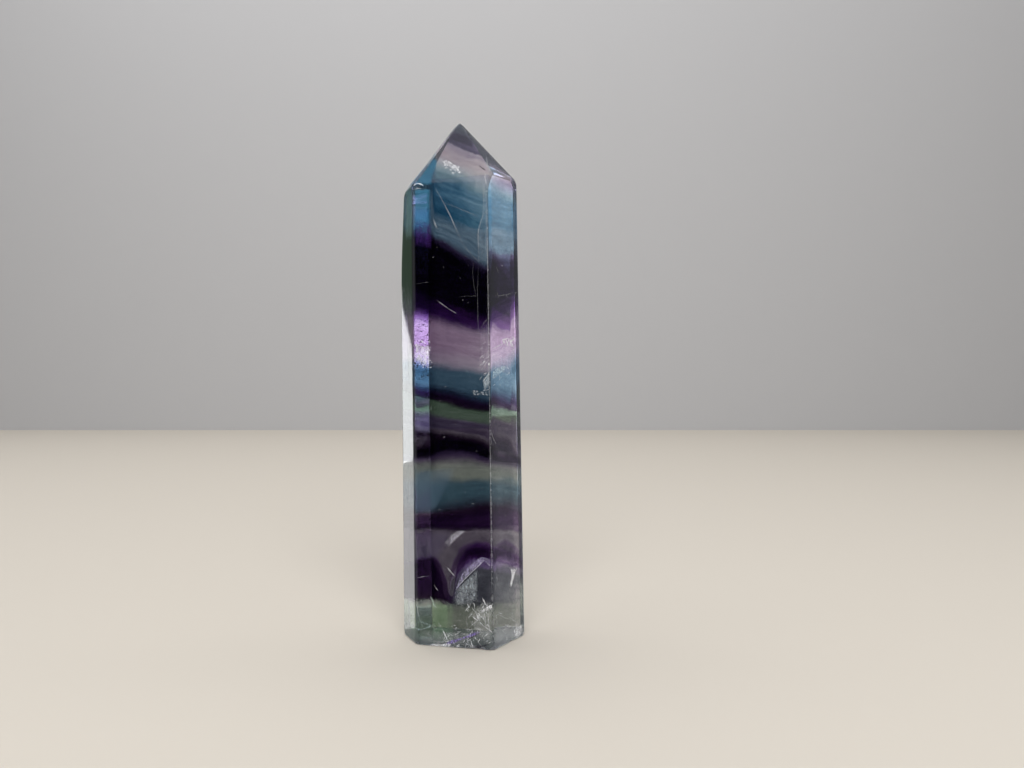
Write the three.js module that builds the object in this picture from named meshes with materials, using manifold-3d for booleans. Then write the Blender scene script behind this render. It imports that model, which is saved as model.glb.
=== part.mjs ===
// Fluorite point: a six-sided tower of banded fluorite, ground flat on every side,
// with a pointed tip of six facets and a sawn base that it stands on.
// Millimetres, +Z up. The origin is the middle of the base, under the stone's own box.
import * as THREE from 'three';
import { mergeVertices } from 'three/addons/utils/BufferGeometryUtils.js';
import Module from 'manifold-3d';

const wasm = await Module();
wasm.setup();

// Driving dimensions, in millimetres and degrees
const HEIGHT = 100; // sawn base to blunted tip
const TIP_REACH = 100.35; // where the tip's facets would meet on the tower's axis
const LEAN = 0.55; // the tower's axis leans this much towards -X over its base
const EDGE_EASE = 0.1; // depth taken off the sharp edges by polishing
const BASE_EASE = 0.16; // depth taken off the edges of the base
const TIP_EASE_AT = 95; // height on the tip's edges where that depth is set
const ROUGH = { width: 60, height: 160 }; // block that the stone is ground out of

// The six sides, in order around the tower, on the tower's own axis:
// azimuth of the face, its distance from the axis at the base, and how much it draws in upwards
const SIDES = {
  left: { azimuth: 207.75, distance: 10.38, draw: 0.11 },
  front: { azimuth: 257.35, distance: 7.55, draw: 0.21 },
  right: { azimuth: 325.9, distance: 9.98, draw: 0.34 },
  rightBack: { azimuth: 28.4, distance: 10.25, draw: 0.41 },
  back: { azimuth: 76.2, distance: 7.64, draw: 0.2 },
  leftBack: { azimuth: 143.9, distance: 9.83, draw: 0.01 },
};

// The tip's facets, one over each side: azimuth, and slope from level
const FACETS = {
  left: { azimuth: 202.5, slope: 54 },
  front: { azimuth: 258.8, slope: 63.7 },
  right: { azimuth: 325, slope: 52.2 },
  rightBack: { azimuth: 29, slope: 51.6 },
  back: { azimuth: 77, slope: 60 },
  leftBack: { azimuth: 146, slope: 52 },
};

// The upper left-back edge was rolled in by polishing: a long shallow flat that starts at this height
const ROLL = { azimuth: 172, draw: 3.9, height: 72 };

// Shell-shaped chips on the edges between two sides: height, radius of the bite and its depth.
// A height of 0 is a chip at a corner of the base.
const EDGE_CHIPS = [
  { sides: ['front', 'right'], height: 0, radius: 3.4, depth: 0.5 },
  { sides: ['front', 'right'], height: 5.2, radius: 1.6, depth: 0.2 },
  { sides: ['front', 'right'], height: 9.6, radius: 1.3, depth: 0.16 },
  { sides: ['front', 'right'], height: 17.5, radius: 1.1, depth: 0.14 },
  { sides: ['front', 'right'], height: 27, radius: 1.2, depth: 0.14 },
  { sides: ['front', 'right'], height: 52, radius: 1.4, depth: 0.15 },
  { sides: ['right', 'rightBack'], height: 0, radius: 1.9, depth: 0.5 },
  { sides: ['left', 'front'], height: 0, radius: 1.8, depth: 0.35 },
  { sides: ['leftBack', 'left'], height: 0, radius: 2.6, depth: 0.55 },
  { sides: ['leftBack', 'left'], height: 31, radius: 1.2, depth: 0.13 },
  { sides: ['back', 'leftBack'], height: 0, radius: 2.2, depth: 0.45 },
  { sides: ['back', 'leftBack'], height: 44, radius: 1.3, depth: 0.14 },
  { sides: ['rightBack', 'back'], height: 0, radius: 1.7, depth: 0.35 },
  { sides: ['rightBack', 'back'], height: 13, radius: 1.4, depth: 0.16 },
];

// Chips along the foot of a side: share of the way along it, radius of the bite and its depth
const FOOT_CHIPS = [
  { side: 'front', share: 0.27, radius: 2.4, depth: 0.42 },
  { side: 'front', share: 0.8, radius: 3.2, depth: 0.5 },
  { side: 'right', share: 0.55, radius: 1.7, depth: 0.3 },
  { side: 'back', share: 0.35, radius: 2.3, depth: 0.4 },
  { side: 'leftBack', share: 0.6, radius: 2, depth: 0.35 },
];

// A chip on the left shoulder, where the front facet, the front and the left side meet
const SHOULDER_CHIP = { radius: 1.7, depth: 0.22 };

const CHIP_DETAIL = 3; // subdivision of the balls that bite the chips out
const COLOUR = 0x4d5677; // between the stone's purple and its teal
const UP = new THREE.Vector3(0, 0, 1);
const names = Object.keys(SIDES);

// Closed solid of a three.js geometry
function solidOf(geometry) {
  geometry.deleteAttribute('normal');
  geometry.deleteAttribute('uv');
  const merged = mergeVertices(geometry);
  const vertProperties = new Float32Array(merged.attributes.position.array);
  const triVerts = new Uint32Array(merged.index.array);
  return new wasm.Manifold(new wasm.Mesh({ numProp: 3, vertProperties, triVerts }));
}

// Geometry of a closed solid, with flat faces
function geometryOf(solid) {
  const mesh = solid.getMesh();
  const geometry = new THREE.BufferGeometry();
  geometry.setAttribute('position', new THREE.BufferAttribute(mesh.vertProperties, 3));
  geometry.setIndex(new THREE.BufferAttribute(mesh.triVerts, 1));
  return geometry;
}

// Outward direction at an azimuth, raised by an elevation
function direction(azimuth, elevation) {
  const polar = THREE.MathUtils.degToRad(90 - elevation);
  const around = THREE.MathUtils.degToRad(azimuth);
  const flat = Math.sin(polar);
  return new THREE.Vector3(flat * Math.cos(around), flat * Math.sin(around), Math.cos(polar));
}

// Plane through a point of the upright tower, leaned over with the tower
const leaning = new THREE.Matrix4().makeRotationY(THREE.MathUtils.degToRad(-LEAN));
function towerPlane(normal, point) {
  return new THREE.Plane().setFromNormalAndCoplanarPoint(normal, point).applyMatrix4(leaning);
}

function sidePlane({ azimuth, distance, draw }) {
  return towerPlane(direction(azimuth, draw), direction(azimuth, 0).multiplyScalar(distance));
}

function facetPlane({ azimuth, slope }) {
  return towerPlane(direction(azimuth, 90 - slope), UP.clone().multiplyScalar(TIP_REACH));
}

// Level plane that looks up or down
function levelPlane(height, normal) {
  return new THREE.Plane().setFromNormalAndCoplanarPoint(normal, UP.clone().multiplyScalar(height));
}

// Point where three planes meet
function meeting(a, b, c) {
  const bc = b.normal.clone().cross(c.normal);
  const ca = c.normal.clone().cross(a.normal);
  const ab = a.normal.clone().cross(b.normal);
  const volume = a.normal.dot(bc);
  bc.multiplyScalar(-a.constant);
  ca.multiplyScalar(-b.constant);
  ab.multiplyScalar(-c.constant);
  return bc.add(ca).add(ab).divideScalar(volume);
}

const sides = names.map((name) => sidePlane(SIDES[name]));
const facets = names.map((name) => facetPlane(FACETS[name]));
const base = levelPlane(0, UP.clone().negate());
const blunt = levelPlane(HEIGHT, UP);
const sideNamed = (name) => sides[names.indexOf(name)];
const facetNamed = (name) => facets[names.indexOf(name)];
const next = (list, index) => list[(index + 1) % list.length];
const previous = (list, index) => list[(index + list.length - 1) % list.length];

// Plane that eases the edge between two faces, a little below a point of that edge
function easing(a, b, point, depth) {
  const normal = a.normal.clone().add(b.normal).normalize();
  const below = point.clone().addScaledVector(normal, -depth);
  return new THREE.Plane().setFromNormalAndCoplanarPoint(normal, below);
}

// Eased edges: between sides, between facets, at the shoulders and around the base
function easedEdges() {
  const middle = levelPlane(HEIGHT / 2, UP);
  const high = levelPlane(TIP_EASE_AT, UP);
  const eased = [];
  sides.forEach((side, index) => {
    const facet = facets[index];
    const nextSide = next(sides, index);
    const nextFacet = next(facets, index);
    eased.push(easing(side, nextSide, meeting(side, nextSide, middle), EDGE_EASE));
    eased.push(easing(facet, nextFacet, meeting(facet, nextFacet, high), EDGE_EASE));
    eased.push(easing(side, facet, meeting(side, facet, nextSide), EDGE_EASE));
    eased.push(easing(side, base, meeting(side, base, nextSide), BASE_EASE));
  });
  return eased;
}

// The flat rolled in at the top of the left-back edge, from its starting height on that edge
function rolledPlane() {
  const start = meeting(sideNamed('left'), sideNamed('leftBack'), levelPlane(ROLL.height, UP));
  return new THREE.Plane().setFromNormalAndCoplanarPoint(direction(ROLL.azimuth, ROLL.draw), start);
}

// Block that fills the outside of a plane, for grinding the stone down to it
function wasteBlock(plane) {
  const block = new THREE.BoxGeometry(ROUGH.height * 2, ROUGH.height * 2, ROUGH.height);
  block.translate(0, 0, ROUGH.height / 2 - plane.constant);
  block.applyQuaternion(new THREE.Quaternion().setFromUnitVectors(UP, plane.normal));
  return solidOf(block);
}

// Ball that bites a chip of this depth out of the stone at a point, from outside
function chipBall(point, outward, { radius, depth }) {
  const ball = new THREE.IcosahedronGeometry(radius, CHIP_DETAIL);
  const centre = point.clone().addScaledVector(outward, radius - depth);
  ball.translate(centre.x, centre.y, centre.z);
  return solidOf(ball);
}

function edgeChip(chip) {
  const [first, second] = chip.sides.map(sideNamed);
  const outward = first.normal.clone().add(second.normal);
  if (chip.height === 0) {
    outward.add(base.normal);
  }
  const point = meeting(first, second, levelPlane(chip.height, UP));
  return chipBall(point, outward.normalize(), chip);
}

function footChip(chip) {
  const index = names.indexOf(chip.side);
  const side = sides[index];
  const start = meeting(side, previous(sides, index), base);
  const end = meeting(side, next(sides, index), base);
  const outward = side.normal.clone().add(base.normal).normalize();
  return chipBall(start.lerp(end, chip.share), outward, chip);
}

function shoulderChip() {
  const faces = [sideNamed('left'), sideNamed('front'), facetNamed('front')];
  const outward = new THREE.Vector3();
  faces.forEach((face) => outward.add(face.normal));
  return chipBall(meeting(...faces), outward.normalize(), SHOULDER_CHIP);
}

// The stone: a rough block ground to its sides, tip and base, then eased and chipped
function fluoriteStone() {
  const rough = new THREE.BoxGeometry(ROUGH.width, ROUGH.width, ROUGH.height);
  let stone = solidOf(rough.translate(0, 0, HEIGHT / 2));
  [...sides, ...facets, base, blunt, rolledPlane(), ...easedEdges()].forEach((plane) => {
    stone = stone.subtract(wasteBlock(plane));
  });
  [...EDGE_CHIPS.map(edgeChip), ...FOOT_CHIPS.map(footChip), shoulderChip()].forEach((ball) => {
    stone = stone.subtract(ball);
  });
  return geometryOf(stone);
}

// Moves the stone so that its box stands centred over the origin
function centredOverBase(geometry) {
  geometry.computeBoundingBox();
  const middle = geometry.boundingBox.getCenter(new THREE.Vector3());
  return geometry.translate(-middle.x, -middle.y, -geometry.boundingBox.min.z);
}

const stone = new THREE.Mesh(
  centredOverBase(fluoriteStone()),
  new THREE.MeshStandardMaterial({ color: COLOUR, roughness: 0.1, metalness: 0 }),
);
stone.name = 'fluorite_point';

const fluoritePoint = new THREE.Group();
fluoritePoint.add(stone);

export default fluoritePoint;
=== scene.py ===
import math
from itertools import combinations
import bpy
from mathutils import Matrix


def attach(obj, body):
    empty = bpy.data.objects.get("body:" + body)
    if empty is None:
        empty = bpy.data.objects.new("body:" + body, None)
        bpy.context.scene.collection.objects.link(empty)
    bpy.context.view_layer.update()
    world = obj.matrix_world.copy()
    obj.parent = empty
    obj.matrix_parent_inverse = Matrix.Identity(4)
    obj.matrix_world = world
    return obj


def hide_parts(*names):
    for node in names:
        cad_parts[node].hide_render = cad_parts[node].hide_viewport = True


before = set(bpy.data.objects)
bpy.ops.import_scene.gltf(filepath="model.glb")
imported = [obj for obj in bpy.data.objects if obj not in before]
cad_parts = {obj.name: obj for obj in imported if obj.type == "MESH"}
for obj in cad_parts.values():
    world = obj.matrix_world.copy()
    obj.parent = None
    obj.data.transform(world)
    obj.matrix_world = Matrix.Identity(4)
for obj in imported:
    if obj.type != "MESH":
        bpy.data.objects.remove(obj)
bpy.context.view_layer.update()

from types import SimpleNamespace

import bpy
import numpy as np
from mathutils import Quaternion, Vector

mm = 0.001
up = np.array([0.0, 0.0, 1.0])
tiny = 1e-9  # least divisor


def unit(v):
    # v divided by its length
    return v / np.linalg.norm(v, axis=-1, keepdims=True)


def smoothStep(x, low, high):
    # 0 below low, 1 above high, and the cubic 3t^2 - 2t^3 between
    t = np.clip((x - low) / (high - low), 0, 1)
    return t * t * (3 - 2 * t)


def crowdEnds(count, power):
    # 0..1 in steps that narrow towards both ends: t^p / (t^p + (1 - t)^p)
    t = np.linspace(0, 1, count)
    return t**power / (t**power + (1 - t) ** power)


def newPiece(name, points, faces):
    # a mesh and its object, linked into the scene
    mesh = bpy.data.meshes.new(name)
    mesh.from_pydata(points, [], faces)
    piece = bpy.data.objects.new(name, mesh)
    bpy.context.scene.collection.objects.link(piece)
    return piece


def pointValues(mesh, name, values):
    # a number or a colour for each point of a mesh, for the shaders
    kind, field = ("FLOAT_COLOR", "color") if values.ndim > 1 else ("FLOAT", "value")
    layer = mesh.attributes.new(name, kind, "POINT")
    layer.data.foreach_set(field, values.astype(np.float32).ravel())


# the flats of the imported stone

flats = {
    "node": "fluorite_point",
    "smallest": 6 * mm * mm,  # a smaller flat is a chip or a sliver
    "sliver": 1e-6 * mm * mm,  # a smaller triangle has no sure normal
    "sameWay": math.cos(math.radians(0.5)),  # triangles of one flat face this nearly the same way
    "sameDepth": 0.03 * mm,
    "halving": math.cos(math.radians(2)),  # an eased edge faces this nearly halfway between two flats
    "sideTilt": 0.03,  # a side's normal climbs less than this, a facet's more
    "facetTilt": 0.3,
    "apart": -0.2,  # flats that face further apart share no edge
}


def packedFlats():
    # triangles that share a normal and a distance are one flat; the narrow eased edges between
    # two flats are left out, because their normal halves the two flats' normals
    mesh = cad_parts[flats["node"]].data
    mesh.calc_loop_triangles()
    points = np.empty(len(mesh.vertices) * 3, np.float32)
    mesh.vertices.foreach_get("co", points)
    triangles = np.empty(len(mesh.loop_triangles) * 3, np.int32)
    mesh.loop_triangles.foreach_get("vertices", triangles)
    corners = points.reshape(-1, 3)[triangles.reshape(-1, 3)].astype(float)
    cross = np.cross(corners[:, 1] - corners[:, 0], corners[:, 2] - corners[:, 0])
    area = np.linalg.norm(cross, axis=1) / 2
    facing = cross / np.maximum(2 * area, flats["sliver"])[:, None]
    depth = np.einsum("ij,ij->i", facing, corners.mean(1))
    found = []
    left = area > flats["sliver"]
    while left.any():
        largest = np.argmax(np.where(left, area, 0))
        same = left & (facing @ facing[largest] > flats["sameWay"])
        same &= abs(depth - depth[largest]) < flats["sameDepth"]
        same[largest] = True
        left &= ~same
        found.append((area[same].sum(), facing[largest], depth[largest]))
    found = sorted((f for f in found if f[0] > flats["smallest"]), key=lambda f: -f[0])
    kept = []
    for _, normal, distance in found:
        halves = [unit(a + b) @ normal for (a, _), (b, _) in combinations(kept, 2)]
        if not any(h > flats["halving"] for h in halves):
            kept.append((normal, distance))
    return np.array([k[0] for k in kept]), np.array([k[1] for k in kept])


normals, depths = packedFlats()
upright = np.where(abs(normals[:, 2]) < flats["sideTilt"])[0]
sloping = np.where(normals[:, 2] > flats["facetTilt"])[0]
sides = upright[np.argsort(np.arctan2(normals[upright, 1], normals[upright, 0]) % (2 * math.pi))]
facets = np.array([max(sloping, key=lambda f: normals[f] @ normals[s]) for s in sides])
base = int(np.argmin(normals[:, 2]))
sideNames = ["rightBack", "back", "leftBack", "left", "front", "right"]  # in order of azimuth from +X
side = dict(zip(sideNames, sides))
facet = dict(zip(sideNames, facets))
edges = list(zip(sides, np.roll(sides, -1)))  # each side and the next one round


def meeting(*which):
    # point where three flats meet
    return np.linalg.solve(normals[list(which)], depths[list(which)])


def edgePoint(first, second, height):
    # point of the edge between two sides, at a height
    planes = np.stack([normals[first], normals[second], up])
    return np.linalg.solve(planes, [depths[first], depths[second], height])


def facePoint(name, share, height):
    # point of a side at a height, a share of the way across it, left to right from outside
    index = sideNames.index(name)
    before = edgePoint(*edges[index - 1], height)
    after = edgePoint(*edges[index], height)
    return before + share * (after - before)


apex = np.mean([meeting(*trio) for trio in combinations(facets[:4], 3)], axis=0)
baseCorners = np.array([meeting(*edge, base) for edge in edges])
baseMiddle = baseCorners.mean(0)
print("flats", len(normals), "apex at", (apex / mm).round(2), "mm")


# the crystal's surface

crystal = {
    "across": 36,  # points across each side, closer together towards its edges
    "crowding": 1.8,
    "rowsBase": 14,
    "baseHole": 0.94,  # the base's rows start this far in from its rim, and a fan closes the middle
    "rowsUp": 290,
    "evenRows": 0.7,  # share of the rows' spacing that is even; the rest crowds to foot and shoulder
    "rowCrowding": 2.2,
    "rowsTip": 64,
    "tipCrowding": 1.5,
    "tipReach": 0.985,  # the facets' rows end this far up, and a fan closes the tip
    "tipPeak": 0.03 * mm,
    "ease": 0.5 * mm,  # an edge's rounding starts this far from it
    "raysFrom": 82 * mm,  # rays to the tip's facets leave the axis at this height
    "ripple": 0.012,  # shell ripples in a chip, as a share of its radius
    "rippleWay": np.array([22.5, 10.0, 17.5]),
    "chipFrost": (-0.12 * mm, 0.05 * mm),  # a chip's frost sets in between these depths
    "shoulderChip": (1.7, 0.22),  # radius and depth in mm, on the left shoulder
}
edgeChips = {  # by the sides that a chip sits between: its height, ball radius and depth in mm
    ("front", "right"): [(0.0, 3.4, 0.5), (5.2, 1.6, 0.2), (9.6, 1.3, 0.16), (17.5, 1.1, 0.14),
                         (27.0, 1.2, 0.14), (52.0, 1.4, 0.15)],
    ("right", "rightBack"): [(0.0, 1.9, 0.5)],
    ("left", "front"): [(0.0, 1.8, 0.35)],
    ("leftBack", "left"): [(0.0, 2.6, 0.55), (31.0, 1.2, 0.13)],
    ("back", "leftBack"): [(0.0, 2.2, 0.45), (44.0, 1.3, 0.14)],
    ("rightBack", "back"): [(0.0, 1.7, 0.35), (13.0, 1.4, 0.16)],
}
footChips = [  # side, share of the way along its foot, ball radius and depth in mm
    ("front", 0.27, 2.4, 0.42), ("front", 0.8, 3.2, 0.5), ("right", 0.55, 1.7, 0.3),
    ("back", 0.35, 2.3, 0.4), ("leftBack", 0.6, 2.0, 0.35),
]


def towerRows():
    # rows round the stone: out across the base, up the sides to the shoulders, then up the facets;
    # a row's points are a share of the way from corner to corner of each side
    share = crowdEnds(crystal["across"], crystal["crowding"])[:-1, None]

    def outline(corners):
        before = np.roll(corners, 1, axis=0)[:, None]
        return (before + share * (corners[:, None] - before)).reshape(-1, 3)

    shoulders = []
    for edge, ends in zip(edges, zip(facets, np.roll(facets, -1))):
        shoulders.append(min((meeting(*edge, end) for end in ends), key=lambda p: p[2]))
    foot, shoulder = outline(baseCorners), outline(np.array(shoulders))
    inward = 1 - np.linspace(crystal["baseHole"], 0, crystal["rowsBase"], endpoint=False)[:, None, None] ** 2
    even, crowded = crystal["evenRows"], crowdEnds(crystal["rowsUp"], crystal["rowCrowding"])
    climb = (even * np.linspace(0, 1, crystal["rowsUp"]) + (1 - even) * crowded)[:, None, None]
    rise = np.linspace(0, 1, crystal["rowsTip"] + 1)[1:, None, None] ** crystal["tipCrowding"]
    baseRows = baseMiddle + inward * (foot - baseMiddle)
    sideRows = foot + climb * (shoulder - foot)
    tipRows = shoulder + rise * crystal["tipReach"] * (apex - shoulder)
    return baseRows, np.concatenate([sideRows, tipRows])


def ontoFlats(points):
    # a ray from the stone's axis through the point ends on the first flat that it meets
    height = np.minimum(points[..., 2:3], crystal["raysFrom"])
    start = baseMiddle + (apex - baseMiddle) * height / apex[2]
    ray = points - start
    along = ray @ normals.T
    room = depths - start @ normals.T
    reach = np.where(along > tiny, room / np.maximum(along, tiny), np.inf).min(-1)
    return start + ray * reach[..., None]


def easedEdges(points):
    # near two flats at once a point sinks along their middle normal by (ease - a - b)^2 / (4 ease),
    # where a and b are its depths under the two flats; the base's rim and the front's right edge are worn
    inside = depths - points @ normals.T
    sink = np.zeros_like(points)
    worn = np.zeros(points.shape[:-1])
    for a, b in combinations(range(len(normals)), 2):
        if normals[a] @ normals[b] < flats["apart"]:
            continue
        near = np.maximum(crystal["ease"] - inside[..., a] - inside[..., b], 0)
        amount = near**2 / (4 * crystal["ease"])
        sink -= amount[..., None] * unit(normals[a] + normals[b])
        worn += near / crystal["ease"] * (base in (a, b) or {a, b} == {side["front"], side["right"]})
    return points + sink, np.clip(worn, 0, 1)


def chipBalls():
    # middle and radius of each ball that bites a chip: it lies outside the stone by its radius less the depth
    balls = []

    def bite(point, outward, radius, depth):
        balls.append((point + unit(outward) * (radius - depth) * mm, radius * mm))

    for names, chips in edgeChips.items():
        first, second = (side[name] for name in names)
        for height, radius, depth in chips:
            outward = normals[first] + normals[second] + (normals[base] if height == 0 else 0)
            bite(edgePoint(first, second, height * mm), outward, radius, depth)
    for name, share, radius, depth in footChips:
        bite(facePoint(name, share, 0), normals[side[name]] + normals[base], radius, depth)
    shoulder = [side["left"], side["front"], facet["front"]]
    bite(meeting(*shoulder), normals[shoulder].sum(0), *crystal["shoulderChip"])
    return balls


def chipped(points):
    # a point inside a ball moves out to the ball's skin, which has fine ripples round its own axis
    bitten = np.zeros(points.shape[:-1])
    for middle, radius in chipBalls():
        away = points - middle
        distance = np.linalg.norm(away, axis=-1)
        ripple = 1 + crystal["ripple"] * np.sin(away @ crystal["rippleWay"] / radius)
        skin = middle + away * (radius * ripple / np.maximum(distance, tiny))[..., None]
        hit = distance < radius * ripple
        points = np.where(hit[..., None], skin, points)
        bitten = np.maximum(bitten, smoothStep(radius - distance, *crystal["chipFrost"]))
    return points, bitten


def makeCrystal():
    # the rows are joined by quads round the stone, with a fan under the base and one over the tip
    baseRows, rows = towerRows()
    rows = np.concatenate([baseRows, ontoFlats(rows)])
    rows, worn = easedEdges(rows)
    rows, bitten = chipped(rows)
    rows[..., 2] = np.maximum(rows[..., 2], 0)
    tip = rows[-1].mean(0) + up * crystal["tipPeak"]
    count, around = rows.shape[:2]
    points = np.concatenate([rows.reshape(-1, 3), [baseMiddle], [tip]])
    ring = np.arange(around)
    after = (ring + 1) % around
    row = np.arange(count - 1)[:, None] * around
    quads = np.stack([row + ring, row + after, row + around + after, row + around + ring], -1)
    top = row[-1] + around
    underside = np.stack([np.full(around, count * around), after, ring], -1)
    point = np.stack([np.full(around, count * around + 1), top + ring, top + after], -1)
    faces = quads.reshape(-1, 4).tolist() + underside.tolist() + point.tolist()
    piece = newPiece("fluorite_crystal", points, faces)
    piece.data.polygons.foreach_set("use_smooth", np.ones(len(faces), bool))
    sawn = np.zeros((count, around))
    sawn[:len(baseRows)] = 1
    for name, values in (("edgeWear", worn), ("chipped", bitten), ("sawn", sawn)):
        pointValues(piece.data, name, np.append(values, [0, 0]))
    print("crystal", len(points), "points", len(faces), "faces")
    return piece


# growth layers: the colour bands through the stone

growth = {  # in mm; x runs from the left of the front to its right
    "wander": 0.7,  # slow swing of the layers, up and down
    "turnAt": 5.9,  # the front's right edge, where the layers turn, and how softly
    "turnSoftness": 0.3,
    "rightFlank": (5.2, 7.6),  # painted light and shade on the right flank: its dye pales, and at some heights deepens, setting in between these
    "leftEdge": (-3.6, -6.5),  # and deepens towards the left edge
    "acrossFront": (-3.0, 5.0),  # and thins a little across the front
    "farLeft": (-4.6, -5.4),
    "archWidest": 55.0,  # x squared, past which an arch runs level
    "domeEdge": (-1.6, -1.1),  # the hollow between the two domes of the lowest layers
    "domeFoot": 7.9,
    "domeRise": 11.5,  # layers squeezed into each dome, and the layer that closes over both
    "domeClosed": 20.6,
    "domeSkew": 0.05,  # the domes lean to the left backwards
    "fan": 207.0,  # the layers fan out backwards, as if from a line this far in front
    "fanHeight": 48.9,
    "frontAt": -7.5,
    "swingBy": 4.0,  # what the noises below are multiplied by
    "frayBy": 2.0,
    "specksBy": 0.4,
    "stripesBy": 1.2,
    "rampStops": 24,  # most stops in one colour ramp
}
grain = {  # noises: waves per mm each way, detail and roughness
    "swing": ((0.11, 0.05, 0.16), 4.0, 0.6),
    "fray": ((2.6, 2.6, 0.12), 3.0, 0.6),
    "clouds": ((0.25, 0.25, 0.25), 5.0, 0.62),
    "specks": ((1.1, 1.1, 1.1), 4.0, 0.7),
    "stripes": ((0.06, 0.06, 1.6), 5.0, 0.68),
}
tints = {  # light that passes through the stone, linear
    "smoke": (0.06, 0.08, 0.13), "duskTip": (0.020, 0.016, 0.065), "lilac": (0.25, 0.225, 0.38),
    "rose": (0.475, 0.41, 0.50), "brownRose": (0.40, 0.34, 0.44), "paleLilac": (0.50, 0.47, 0.61),
    "blueMist": (0.44, 0.51, 0.62), "seaMist": (0.21, 0.355, 0.44), "teal": (0.065, 0.18, 0.30),
    "deepTeal": (0.022, 0.10, 0.19), "haze": (0.12, 0.20, 0.28), "night": (0.0014, 0.0006, 0.0046),
    "violet": (0.032, 0.008, 0.075), "mauve": (0.34, 0.235, 0.36), "greyMauve": (0.36, 0.30, 0.40),
    "slate": (0.055, 0.115, 0.18), "ink": (0.013, 0.02, 0.05), "aubergine": (0.013, 0.006, 0.02),
    "sage": (0.095, 0.142, 0.105), "heather": (0.088, 0.075, 0.12), "plum": (0.011, 0.0035, 0.024),
    "lichen": (0.19, 0.22, 0.21), "lagoon": (0.04, 0.085, 0.125), "ash": (0.095, 0.085, 0.12),
    "moss": (0.30, 0.43, 0.30), "greyMoss": (0.25, 0.29, 0.26), "lilacRim": (0.15, 0.11, 0.26),
    "feather": (0.055, 0.06, 0.085), "dusk": (0.05, 0.036, 0.085), "twilight": (0.024, 0.016, 0.05),
}
layers = [  # height in mm on the middle of the front, and tint, from the base up
    (0.0, "greyMoss"), (2.0, "moss"), (7.6, "moss"), (8.6, "greyMoss"), (9.6, "aubergine"), (12.0, "plum"),
    (18.6, "plum"), (19.4, "violet"), (20.1, "ash"), (21.6, "ash"), (22.5, "plum"), (24.2, "plum"),
    (25.4, "aubergine"), (28.0, "lagoon"), (30.6, "lagoon"), (31.8, "lichen"), (33.5, "lichen"),
    (35.3, "heather"), (35.8, "dusk"), (36.4, "twilight"), (37.0, "night"), (38.4, "night"),
    (39.1, "aubergine"), (39.8, "ash"), (40.4, "dusk"), (41.0, "heather"), (41.5, "dusk"),
    (42.0, "heather"), (42.5, "sage"), (44.4, "sage"), (44.8, "aubergine"), (45.8, "plum"), (46.8, "ink"),
    (48.2, "slate"), (51.2, "slate"), (52.6, "greyMauve"), (55.0, "mauve"), (58.4, "mauve"),
    (60.4, "violet"), (63.4, "night"), (71.6, "night"), (73.0, "twilight"), (74.6, "haze"), (77.8, "haze"),
    (79.2, "deepTeal"), (83.4, "teal"), (85.2, "teal"), (86.3, "seaMist"), (87.5, "blueMist"),
    (88.7, "paleLilac"), (89.7, "brownRose"), (90.7, "rose"), (91.6, "paleLilac"), (92.5, "lilac"),
    (93.3, "duskTip"), (95.2, "duskTip"), (96.4, "smoke"), (100.0, "smoke"),
]
domeLayers = [  # the same under the right dome, at the foot
    (0.0, "greyMoss"), (6.6, "greyMoss"), (8.6, "feather"), (14.6, "feather"), (15.4, "lilacRim"),
    (16.2, "lilacRim"), (16.9, "violet"), (17.4, "plum"), (18.8, "plum"), (19.4, "violet"), (20.1, "ash"),
    (21.0, "ash"),
]
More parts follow.
